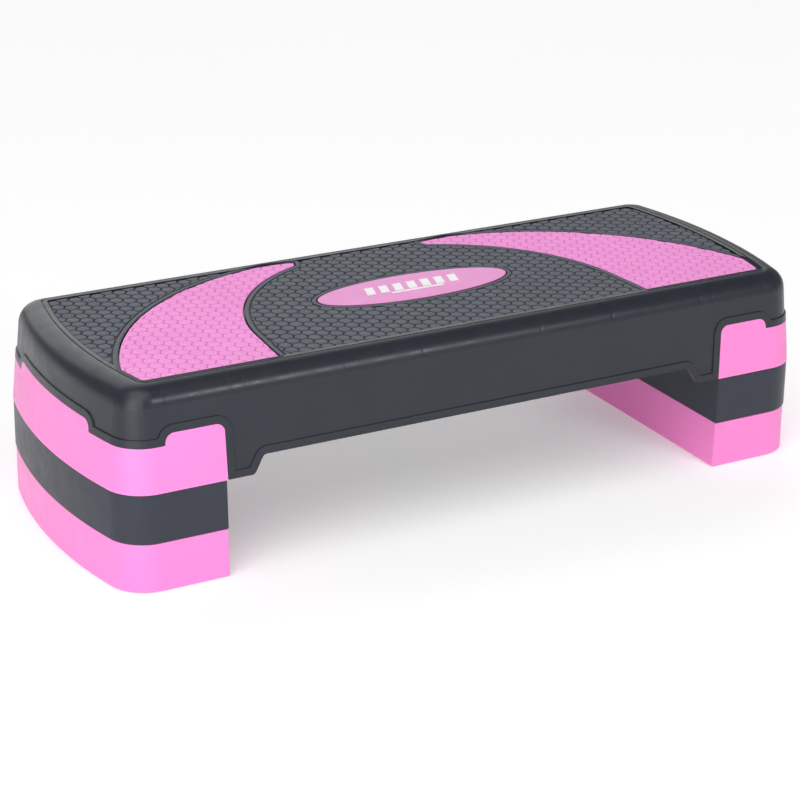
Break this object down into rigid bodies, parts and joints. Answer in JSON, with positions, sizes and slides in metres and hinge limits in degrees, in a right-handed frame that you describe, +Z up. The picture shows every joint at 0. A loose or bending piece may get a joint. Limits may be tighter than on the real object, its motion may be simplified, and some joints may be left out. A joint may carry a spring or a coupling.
{
  "type": "aerobic step platform",
  "caption": "Low rectangular exercise step with bowed ends: ribbed deck with hexagon-textured treads on screwed leg blocks, standing on stackable loose risers.",
  "frame": {"origin": "on the floor, under the middle of the deck", "axes": "+X along the length of the deck, +Y towards the back long side, +Z up"},
  "size_m": [0.8034, 0.312, 0.1997],
  "materials": {
    "grey_plastic": "satin moulded",
    "grey_tread": "hexagon tiles",
    "pink_tread": "hexagon tiles",
    "pink_badge": "smooth",
    "white_print": "smooth print",
    "pink_plastic": "satin moulded",
    "foot_rubber": "matt",
    "screw_steel": "zinc plated"
  },
  "bodies": {
    "lower_risers": {"left_lower_riser": "pink_plastic", "left_lower_feet": "foot_rubber", "right_lower_riser": "pink_plastic", "right_lower_feet": "foot_rubber"},
    "left_middle": {"left_middle_riser": "grey_plastic", "left_middle_feet": "foot_rubber"},
    "right_middle": {"right_middle_riser": "grey_plastic", "right_middle_feet": "foot_rubber"},
    "deck": {"deck_shell": "grey_plastic", "center_tread": "grey_tread", "left_end_tread": "grey_tread", "right_end_tread": "grey_tread", "left_crescent_tread": "pink_tread", "right_crescent_tread": "pink_tread", "center_badge": "pink_badge", "badge_emblem": "white_print", "left_leg_block": "pink_plastic", "right_leg_block": "pink_plastic", "left_leg_screws": "screw_steel", "right_leg_screws": "screw_steel", "left_leg_feet": "foot_rubber", "right_leg_feet": "foot_rubber"}
  },
  "joints": [
    {"name": "left_middle_lift", "type": "slide", "parent": "lower_risers", "child": "left_middle", "axis": [0, 0, 1], "range_m": [0, 0.07]},
    {"name": "right_middle_lift", "type": "slide", "parent": "lower_risers", "child": "right_middle", "axis": [0, 0, 1], "range_m": [0, 0.07]},
    {"name": "deck_lift", "type": "slide", "parent": "left_middle", "child": "deck", "axis": [0, 0, 1], "range_m": [0, 0.07]}
  ],
  "couplings": [
    {"joint": "right_middle_lift", "follows": "left_middle_lift", "ratio": 1}
  ]
}
